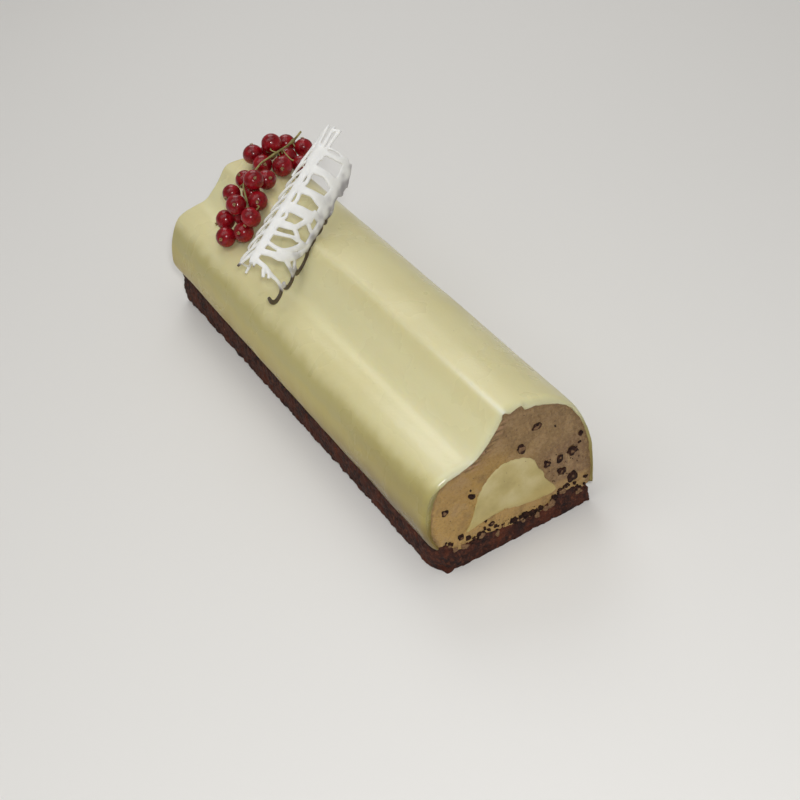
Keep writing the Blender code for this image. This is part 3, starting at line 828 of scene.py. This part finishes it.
def spongeLine():
    # once round the sponge, from the middle of the left side
    left, right = spongeLow.x, spongeHigh.x
    near, far = spongeLow.y, spongeHigh.y
    radius = spongeSet["corner"]
    corners = [(left, near), (right, near), (right, far), (left, far)]
    middle = Vector(((left + right) / 2, (near + far) / 2))
    points = [(left, 0.0)]
    for number, (x, y) in enumerate(corners):
        start = math.pi + number * math.pi / 2
        centre = (x + radius * (1 if x < middle.x else -1), y + radius * (1 if y < middle.y else -1))
        for degrees in (0, 30, 60, 90):
            turn = start + math.radians(degrees)
            points.append((centre[0] + radius * math.cos(turn), centre[1] + radius * math.sin(turn)))
    points.append((left, 0.0))
    points = np.array(points)
    length = np.linalg.norm(np.diff(points, axis=0), axis=1).sum()
    return spreadEvenly(points, round(length / spongeSet["step"]) + 1)


def spongeCrumb(point):
    deep = 0.5
    for depth, size, seed in ((0.55, 0.0060, 1), (0.40, 0.0022, 2), (0.25, 0.0010, 3)):
        deep += depth * lumps(point, size, seed)
    return deep + 2.2 * max(0, lumps(point, 0.0034, 5) - 0.20)


def sideTop(x, y):
    # the height of the sponge's top where its side passes (x, y)
    cut = y < spongeLow.y + spongeSet["endBand"]
    top = spongeHigh.z if x < 0 else spongeSet["rightTop"]
    if cut or y > spongeHigh.y - spongeSet["endBand"]:
        top = spongeTopAt(x)
        top += 0.0005 * lumps((x, 0, y), 0.003, 2) + cut * (0.0006 + 0.0013 * lumps((x, 0, 0), 0.0055, 8))
    behind = spongeSet["underFoot"] * (x < -0.036) * eased((y - front) / 0.03)
    return top + (footRise(x, y) + behind) * (not cut), cut


def addSponge():
    line = spongeLine()
    rows = spongeSet["rows"]
    places = np.zeros((rows, len(line), 3))
    slope = np.gradient(line, axis=0)
    slope /= np.linalg.norm(slope, axis=1)[:, None]
    inward = np.stack([-slope[:, 1], slope[:, 0]], axis=1)
    for column, (x, y) in enumerate(line):
        top, cut = sideTop(x, y)
        out = spongeSet["leftOut"] * max(0, inward[column, 0]) * eased((y - front) / 0.010) * (x < 0)
        out += spongeSet["endOut"] * max(0, -inward[column, 1]) * eased((0.036 - x) / 0.03) * (y > 0)
        for row in range(rows):
            z = top * row / (rows - 1)
            wrapped = (x, y, z)
            deep = spongeSet["crumb"] * spongeCrumb(wrapped) - out * (1 - 0.45 * (z / top) ** 3)
            deep *= 1 if row else 0.8
            # the crumb draws back under the mousse's ragged edge
            deep += cut * 0.0006 * eased((z - top + 0.0030) / 0.0026)
            drop = 0.0004 * lumps(wrapped, 0.0016, 7) if 0 < row < rows - 1 else 0
            at = np.array([x, y]) + inward[column] * deep
            places[row, column] = (at[0], at[1], z + drop)
    places[:, -1] = places[:, 0]
    bm = bmesh.new()
    mappedGrid(bm, places)
    bmesh.ops.remove_doubles(bm, verts=bm.verts, dist=0.000005)
    closeHoles(bm)
    piece = meshPiece("sponge_body", bm, spongeMaterial())
    finish(piece, "chocolate_sponge", "sponge_base")
    print("sponge", len(piece.data.vertices), "points")


def spongeMaterial():
    material, tree, shader = newMaterial("chocolateSponge", (0.05, 0.02, 0.014), 0.85, specular=0.35)
    place = objectPlace(tree)
    broad = noiseAt(tree, place, 0.010, 3)
    fine = noiseAt(tree, place, 0.0022, 5, 0.7)
    colour = ramp(tree, fine, [(0.30, (0.008, 0.003, 0.003)), (0.50, (0.036, 0.011, 0.007)),
                               (0.64, (0.110, 0.032, 0.015)), (0.76, (0.34, 0.16, 0.070))])
    colour = mix(tree, ramp(tree, broad, [(0.42, 0.0), (0.66, 0.6)]), colour, (0.125, 0.027, 0.009))
    pores = addNode(tree, "TexVoronoi", [(place, "Vector")], scale=1 / 0.0018)
    paint(tree, shader, colour, [(pores.outputs["Distance"], 0.0007), (fine, 0.0007)])
    return material


# the currants and their stem

currantSet = {
    "count": 21,
    "shape": 0.955,  # height of a berry as a share of its width
    "plump": 1.045,  # a berry is this much larger than its faceted solid
    "crown": 0.20,  # radius of the dried flower, as a share of the berry's
    "stem": [
        (0.0390, 0.1190, 0.0820), (0.0365, 0.1200, 0.0795), (0.0340, 0.1210, 0.0775),
        (0.0290, 0.1170, 0.0785), (0.0235, 0.1145, 0.0790), (0.0190, 0.1125, 0.0795),
        (0.0145, 0.1100, 0.0800), (0.0100, 0.1085, 0.0800), (0.0040, 0.1040, 0.0800),
        (-0.0020, 0.1000, 0.0805), (-0.0065, 0.0965, 0.0790), (-0.0080, 0.0930, 0.0760),
        (-0.0085, 0.0910, 0.0710), (-0.0085, 0.0895, 0.0670),
    ],
    "stemRadius": 0.00064,
    "stalkRadius": 0.00032,
    "stalkReach": 0.020,
}


def currantAxes(node):
    # the middle, radius and tip direction of a berry, from its solid
    points = np.array([vert.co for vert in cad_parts[node].data.vertices])
    terms = np.hstack([2 * points, np.ones((len(points), 1))])
    found = np.linalg.lstsq(terms, (points**2).sum(axis=1), rcond=None)[0]
    middle = Vector(found[:3])
    radius = math.sqrt(found[3] + middle.length_squared)
    tip = max((Vector(point) for point in points), key=lambda point: (point - middle).length)
    return middle, radius, (tip - middle).normalized()


def berry(bm, middle, radius, away, rng):
    layer = bm.verts.layers.float_vector["berry"]
    turn = Vector((0, 0, 1)).rotation_difference(away).to_matrix().to_4x4()
    spin = Matrix.Rotation(rng.uniform(0, math.tau), 4, "Z")
    seed = rng.uniform(0, 50)
    made = bmesh.ops.create_uvsphere(bm, u_segments=36, v_segments=24, radius=1)
    for vert in made["verts"]:
        vert[layer] = vert.co.copy()
        up = vert.co.z
        across = math.hypot(vert.co.x, vert.co.y)
        size = 1 + 0.020 * lumps(vert.co, 0.9, seed)
        dent = 0.10 * math.exp(-(across / 0.16) ** 2)
        vert.co.z = up * currantSet["shape"] - (dent if up > 0 else -dent * 1.3)
        vert.co = vert.co * size * radius
    place = Matrix.Translation(middle) @ turn @ spin
    bmesh.ops.transform(bm, matrix=place, verts=made["verts"])
    return place


def crown(bm, place, radius, rng):
    # the dried flower: a short stub and a ring of curled points
    before = len(bm.faces)
    wide = currantSet["crown"] * radius
    top = radius * currantSet["shape"]
    for k in range(5):
        angle = k * math.tau / 5 + rng.uniform(-0.25, 0.25)
        made = bmesh.ops.create_cone(bm, cap_ends=True, segments=5, radius1=wide * 0.55, radius2=wide * 0.12,
                                     depth=wide * rng.uniform(1.0, 1.6))
        lean = Matrix.Rotation(rng.uniform(0.1, 0.9), 4, (-math.sin(angle), math.cos(angle), 0))
        at = (wide * 0.5 * math.cos(angle), wide * 0.5 * math.sin(angle), top + wide * 0.15)
        bmesh.ops.transform(bm, matrix=place @ Matrix.Translation(at) @ lean, verts=made["verts"])
    made = bmesh.ops.create_icosphere(bm, subdivisions=2, radius=wide * 0.75)
    for vert in made["verts"]:
        vert.co.z *= 0.7
    bmesh.ops.transform(bm, matrix=place @ Matrix.Translation((0, 0, top - wide * 0.25)), verts=made["verts"])
    bm.faces.ensure_lookup_table()
    for face in bm.faces[before:]:
        face.material_index = 1


def addCurrants():
    skin, crownFinish = currantMaterial(), crownMaterial()
    rng = random.Random(5)
    axes = []
    for number in range(1, currantSet["count"] + 1):
        node = f"currant_{number:02d}"
        middle, radius, away = currantAxes(node)
        bm = bmesh.new()
        bm.verts.layers.float_vector.new("berry")
        radius *= currantSet["plump"]
        place = berry(bm, middle, radius, away, rng)
        crown(bm, place, radius, rng)
        piece = meshPiece(f"berry_{number:02d}", bm, skin, crownFinish)
        finish(piece, "red_currant", node)
        axes.append((middle, radius, away))
    print("currants", len(axes))
    return axes


def currantMaterial():
    material, tree, shader = newMaterial("redCurrant", (0.22, 0.003, 0.008), 0.22, specular=0.30,
                                         soft=(0.55, (0.0040, 0.0006, 0.0005)))
    shader.inputs["Coat Weight"].default_value = 0.22
    shader.inputs["Coat Roughness"].default_value = 0.05
    onBerry = ownValue(tree, "berry", "Vector")
    x, y, z = axesOf(tree, onBerry)
    # pale veins run from the stalk to the dried flower
    angle = calculate(tree, "ARCTAN2", y, x)
    wave = calculate(tree, "ABSOLUTE", calculate(tree, "SINE", times(tree, angle, 5.0)))
    veins = ramp(tree, wave, [(0.0, 1.0), (0.10, 0.35), (0.22, 0.0)])
    poles = between(tree, calculate(tree, "ABSOLUTE", z), 0.97, 0.55)
    flesh = noiseAt(tree, onBerry, 0.9, 2)
    colour = ramp(tree, flesh, [(0.35, (0.150, 0.0012, 0.0045)), (0.65, (0.300, 0.004, 0.011))])
    paint(tree, shader, mix(tree, times(tree, veins, poles, 0.30), colour, (0.55, 0.045, 0.05)))
    return material


def crownMaterial():
    material, tree, shader = newMaterial("driedFlower", (0.10, 0.055, 0.025), 0.8)
    fine = noiseAt(tree, objectPlace(tree), 0.0006, 3)
    paint(tree, shader, ramp(tree, fine, [(0.35, (0.075, 0.036, 0.016)), (0.62, (0.48, 0.32, 0.15))]))
    return material


def tube(bm, segments, count):
    # a ring of points extruded again and again, each time with the plain circle to place it by
    ring = bmesh.ops.create_circle(bm, segments=segments, radius=1, cap_ends=True)["verts"]
    circle = [vert.co.copy() for vert in ring]
    face = ring[0].link_faces[0]
    for number in range(count):
        if number:
            face = bmesh.ops.extrude_discrete_faces(bm, faces=[face])["faces"][0]
            ring = list(face.verts)
        yield list(zip(ring, circle))


def strand(bm, route, radii, segments=10):
    points = [Vector(point) for point in route]
    away = Vector((0, 0, 1))
    for k, ring in enumerate(tube(bm, segments, len(points))):
        ahead = (points[min(k + 1, len(points) - 1)] - points[max(k - 1, 0)]).normalized()
        side = ahead.cross(away).normalized()
        away = side.cross(ahead)
        for vert, start in ring:
            vert.co = points[k] + side * (start.x * radii[k]) + away * (start.y * radii[k])


def addStem(axes):
    bm = bmesh.new()
    route = through(currantSet["stem"], 6)
    radii = []
    for k, point in enumerate(route):
        knot = math.exp(-((k - 12) / 2.2) ** 2)
        swell = 1 + 0.65 * knot + 0.18 * lumps(point, 0.003, 4)
        radii.append(currantSet["stemRadius"] * swell * (1 - 0.25 * k / len(route)))
    strand(bm, route, radii)
    for middle, radius, away in axes:
        base = middle - away * radius * currantSet["shape"] * 0.97
        nearest = Vector(min(route, key=lambda point: (Vector(point) - base).length))
        reach = (nearest - base).length
        if reach > currantSet["stalkReach"]:
            continue
        bend = base - away * 0.35 * reach
        stalk = through([base, (base + bend) / 2, (bend + nearest) / 2, nearest], 5)
        widths = [currantSet["stalkRadius"] * (1.5 - 0.5 * smoothStep(k / 4)) for k in range(len(stalk))]
        strand(bm, stalk, widths, segments=8)
    piece = meshPiece("green_stalks", bm, stemMaterial())
    finish(piece, "green_stem", "currant_stem")
    print("stem", len(piece.data.vertices), "points")


def stemMaterial():
    material, tree, shader = newMaterial("greenStem", (0.30, 0.25, 0.06), 0.5,
                                         soft=(0.15, (0.001, 0.001, 0.0004)))
    place = objectPlace(tree)
    tone = noiseAt(tree, place, 0.004, 3)
    colour = ramp(tree, tone, [(0.35, (0.180, 0.155, 0.045)), (0.65, (0.390, 0.350, 0.130))])
    paint(tree, shader, colour, [(noiseAt(tree, place, 0.0007, 3), 0.0001)])
    return material


# the lace curl

curlSet = {
    "near": Vector((-0.0318, 0.0336, 0.0615)),  # the tube's axis at its low end
    "far": Vector((0.0328, 0.0648, 0.0902)),
    "radius": 0.0135,
    "voxel": 0.00034,
    "thick": 0.00060,
    "wideFrom": 0.0045,  # a patch wider than this is no thicker than a strand
    "softening": 4,
    # each strand is a row of (along in mm, angle in degrees, width in mm); 90 degrees is the crest
    "crest": [
        [(4, 88, 2.4), (8, 89.5, 3.4), (14, 91, 3.8), (24, 91.5, 3.6), (34, 91.5, 3.6), (46, 91.5, 3.8),
         (58, 91.5, 4.0),
         (68, 92, 5.0), (75, 92, 4.8)],
        [(6, 82, 1.8), (18, 82, 1.9), (29, 80, 2.0), (33, 75, 1.9), (36, 78, 2.0), (39.5, 76, 2.0),
         (43.5, 73.5, 2.0),
         (47.5, 77, 2.2), (51, 80, 2.4), (53, 77, 2.2), (56, 75, 2.0), (59, 77, 2.2), (62, 81, 2.6),
         (70, 80, 2.8), (75, 77, 2.6)],
        [(10, 96, 2.4), (6.5, 106, 1.8), (4, 118, 1.5), (2, 131, 1.1)],
        [(10, 91, 2.2), (6, 84, 1.8), (2, 79, 1.1)],
    ],
    "fingers": [
        [(70, 89, 4.0), (79, 88, 2.4), (86, 88, 1.8), (88.5, 87, 1.2)],
        [(66, 101, 3.2), (76, 102, 2.4), (84, 104, 1.9), (89, 105, 1.2)],
        [(68, 76, 2.8), (77, 74.5, 2.0), (84, 74, 1.9), (87.4, 73, 2.4)],
        [(85, 88, 1.6), (86.6, 80, 1.5), (86.4, 72, 1.4)],
    ],
    "left": [
        [(58, 137, 1.4), (64, 128, 1.8), (70, 119, 2.0), (78, 111, 2.0), (83, 110, 1.7), (87.5, 106, 1.1)],
        [(5, 190, 1.3), (20, 188, 1.4), (42, 184, 1.4), (56, 186, 1.4), (68, 190, 1.3)],
        [(9, 164, 1.0), (20, 166, 1.0), (34, 166, 1.0), (48, 162, 1.0), (58, 154, 1.1)],
    ],
    # the teeth down the left side start here on the crest
    "teeth": [77, 69.5, 62, 54.5, 46.5, 39.5, 31.5, 24, 16],
    "tooth": [(0, 95, 2.4), (-2.6, 104, 1.4), (-5, 114, 1.15), (-7.4, 124, 1.05), (-9, 135, 1.05), (-9.5, 150, 1.0),
              (-8.5, 170, 1.0), (-7, 190, 1.1)],
    # the webs between the windows on the right side
    "webs": [
        [(73, 92, 3.8), (72.6, 70, 3.0), (72.8, 50, 2.8), (73.4, 34, 3.4), (74.4, 20, 3.6)],
        [(75.6, 76, 1.2), (75.9, 58, 1.1), (75.9, 40, 1.1), (75.4, 24, 2.0)],
        [(62.2, 92, 5.2), (62.4, 70, 4.8), (62.4, 50, 4.6), (61.4, 30, 6.2), (61, 16, 7.5)],
        [(50, 92, 4.8), (49.6, 70, 4.4), (50, 52, 3.8), (49.5, 32, 6.0), (49.5, 16, 7.5)],
        [(38.4, 92, 6.2), (38.6, 70, 5.8), (38.8, 52, 5.6), (39.4, 36, 6.2), (40.2, 22, 6.4)],
        [(29, 92, 5.0), (28.8, 74, 4.4), (29.4, 56, 3.8), (30.3, 46, 3.0), (34.5, 36, 2.6), (38, 27, 2.8)],
        [(29.5, 47, 2.6), (27.2, 34, 2.2), (26.2, 24, 2.2), (25.6, 12, 3.0), (26.2, 0, 3.0)],
        [(23, 92, 2.8), (23, 74, 2.4), (24.4, 55, 2.0), (25.2, 40, 2.0), (25.6, 26, 2.6)],
        [(16.8, 92, 2.8), (16.8, 76, 2.5), (16.2, 60, 2.3), (17, 44, 2.5), (19.4, 30, 2.8),
         (22.5, 20, 3.0), (25.4, 12, 3.0)],
        [(11.5, 92, 3.8), (11.4, 76, 3.4), (11.8, 60, 3.4), (13, 44, 4.6), (14.8, 32, 4.6), (17, 18, 3.6),
         (20.5, 6, 3.0),
         (25, -2, 2.6)],
        [(14.5, 32, 4.0), (12.8, 16, 2.6), (11.7, 3, 2.2), (11.2, -8, 2.0)],
        [(7.5, 88, 2.8), (5.6, 74, 2.6), (4.8, 55, 2.4), (3.2, 40, 2.2), (2.5, 22, 2.0), (1.6, 4, 1.9)],
        [(3.5, 56, 2.6), (-0.4, 50, 1.8)],
        [(4, 44, 2.0), (0.6, 38, 1.5)],
    ],
    "panel": [
        [(74.8, 22, 4.6), (71.5, 16, 7.0), (68, 10, 8.6), (64, 7, 9.6), (60, 11, 8.0), (56, 11, 7.6),
         (52, 10, 8.0), (48, 9, 8.0),
         (44, 9, 7.4), (40, 7, 6.0)],
        [(71, 12, 3.6), (68, -2, 3.0), (65.4, -14, 1.8)],
        [(43, 22, 4.4), (39.5, 30, 3.0), (36, 30, 2.6)],
        [(36.5, 30, 2.4), (34.5, 16, 2.2), (34.5, 4, 2.4)],
        [(43, 2, 5.2), (38, -1, 4.4), (33, 0, 4.0), (28, -1, 4.2), (25, 1, 3.4)],
        [(62, -4, 1.8), (60.8, -13, 1.6), (58.8, -3, 1.8)],
        [(53, -4, 1.8), (49.8, -15, 1.6), (46.8, -12, 1.6), (45.5, -5, 1.8)],
        [(45.5, -6, 1.8), (44.2, -17, 1.6), (42.4, -10, 1.6), (41.9, -3, 1.7)],
        [(41.5, -4, 1.7), (39.4, -14, 1.6), (36.4, -13, 1.6), (34.4, -5, 1.7)],
        [(34, -6, 1.7), (31.9, -14, 1.6), (29.8, -12, 1.6), (28.6, -6, 1.7)],
        [(28.5, -6, 1.8), (26.8, -14, 1.7), (25.6, -3, 1.8)],
    ],
    "hooks": [
        [(25.7, 2, 2.4), (25.0, -14, 2.3), (22.9, -28, 2.3), (19.2, -37, 2.5), (15.0, -30, 2.8),
         (13.6, -14, 2.8), (14.4, 0, 2.2),
         (16.5, 8, 1.6)],
        [(12.4, 2, 2.2), (11, -12, 2.2), (8.6, -22, 2.5), (5.4, -21, 2.8), (3.4, -8, 2.4), (4.6, 4, 1.6)],
        [(2.4, 8, 2.0), (-0.6, -6, 2.1), (-5.0, -8, 2.5), (-7.4, 4, 2.5), (-6.9, 18, 1.5)],
    ],
}
curlAxis = (curlSet["far"] - curlSet["near"]).normalized()
curlSide = curlAxis.cross(Vector((0, 0, 1))).normalized()
curlUp = curlSide.cross(curlAxis)


def onCurl(along, degrees, lift=0.0):
    turn = math.radians(degrees)
    out = curlSide * math.cos(turn) + curlUp * math.sin(turn)
    return curlSet["near"] + curlAxis * along + out * (curlSet["radius"] + lift), out


def curlPlace(point):
    # the way back: how far along the tube a point lies, and its angle
    off = point - curlSet["near"]
    along = off.dot(curlAxis)
    return along, math.degrees(math.atan2(off.dot(curlUp), off.dot(curlSide)))


def band(bm, route, lift):
    # a strand of chocolate that lies on the tube and follows its curve
    radius = curlSet["radius"]
    flat = np.stack([route[:, 0], np.radians(route[:, 1]) * radius], axis=1)
    slope = np.gradient(flat, axis=0)
    slope /= np.maximum(np.linalg.norm(slope, axis=1)[:, None], 1e-9)
    for (along, degrees, width), (ahead, turn), ring in zip(route, slope, tube(bm, 16, len(route))):
        wide = eased((width - curlSet["wideFrom"]) / 0.003)
        thick = curlSet["thick"] + 0.08 * min(width, curlSet["wideFrom"]) * (1 - 0.8 * wide)
        for vert, start in ring:
            # a squared circle gives the strand a flat top and round edges
            across = math.copysign(abs(start.x) ** 0.7, start.x) * width / 2
            up = math.copysign(abs(start.y) ** 0.7, start.y) * thick
            at, _ = onCurl(along - turn * across, degrees + math.degrees(ahead * across / radius), lift + up)
            vert.co = at


def laceRoutes():
    parts = ("crest", "fingers", "left", "webs", "panel", "hooks")
    routes = [route for part in parts for route in curlSet[part]]
    for start in curlSet["teeth"]:
        routes.append([(start + along, degrees, width) for along, degrees, width in curlSet["tooth"]])
    return routes


def laceShadeAndDarkness(point):
    # darker along the curled right edge, at the hooks and at the tips; painted shade greys the right side
    along, degrees = curlPlace(point)
    along *= 1000
    if degrees <= -90:
        return 0.0
    wave = 5 * lumps(point, 0.005, 3)
    edge = eased((-2 + wave - degrees) / 9) * eased((53 - along) / 8)
    hook = eased((2.0 - along) / 2.5) * eased((34 + wave - 10 * along - degrees) / 10)
    patch = 0.5 + 0.9 * lumps(point, 0.0035, 6)
    paintedGreyShade = (0.14 + 0.30 * patch) * eased((30 + 3 * wave - degrees) / 34)
    paintedGreyShade += 0.20 * eased((8 + wave - degrees) / 14) * eased((along - 50) / 8)
    tip = 0.9 * eased((3.2 - along + wave * 0.3) / 2.0) * (degrees > 74)
    return max(edge, hook, paintedGreyShade, tip)


def addLace():
    rng = random.Random(17)
    bm = bmesh.new()
    for route in laceRoutes():
        points = []
        for along, degrees, width in route:
            along, degrees = along + rng.gauss(0, 0.15), degrees + rng.gauss(0, 0.6)
            points.append((along / 1000, degrees, width / 1000 * rng.uniform(0.94, 1.08)))
        band(bm, through(points, 6), rng.uniform(-0.0001, 0.0001))
    closeHoles(bm)
    piece = meshPiece("white_lace", bm, laceMaterial())
    remesh = piece.modifiers.new("melt", "REMESH")
    remesh.mode = "VOXEL"
    remesh.voxel_size = curlSet["voxel"]
    remesh.use_smooth_shade = True
    soften = piece.modifiers.new("soften", "SMOOTH")
    soften.factor = 0.5
    soften.iterations = curlSet["softening"]
    bpy.context.view_layer.update()
    graph = bpy.context.evaluated_depsgraph_get()
    melted = bpy.data.meshes.new_from_object(piece.evaluated_get(graph))
    piece.modifiers.clear()
    piece.data = melted
    dark = melted.attributes.new("dark", "FLOAT", "POINT")
    for vert in melted.vertices:
        dark.data[vert.index].value = laceShadeAndDarkness(vert.co)
    finish(piece, "white_chocolate", "lace_curl")
    print("lace", len(melted.vertices), "points")


def laceMaterial():
    material, tree, shader = newMaterial("whiteChocolate", (0.84, 0.84, 0.81), 0.42,
                                         soft=(0.15, (0.0015, 0.0014, 0.0012)))
    place = objectPlace(tree)
    tone = noiseAt(tree, place, 0.006, 3)
    colour = ramp(tree, tone, [(0.35, (0.80, 0.80, 0.78)), (0.65, (0.88, 0.88, 0.86))])
    dark = ownValue(tree, "dark")
    # low dark values give the painted grey shade of the right side, high ones the dark brown of the curled edge,
    # hooks and tips
    colour = mix(tree, between(tree, dark, 0.0, 0.5), colour, (0.36, 0.345, 0.36))
    colour = mix(tree, between(tree, dark, 0.45, 0.95), colour, (0.070, 0.048, 0.027))
    paint(tree, shader, colour, [(noiseAt(tree, place, 0.0012, 3), 0.00012)])
    return material


# all of it

addCamera()
addLights()
addFloor()
addGlaze()
addMousse()
addCream()
addChips()
addSponge()
addStem(addCurrants())
addLace()
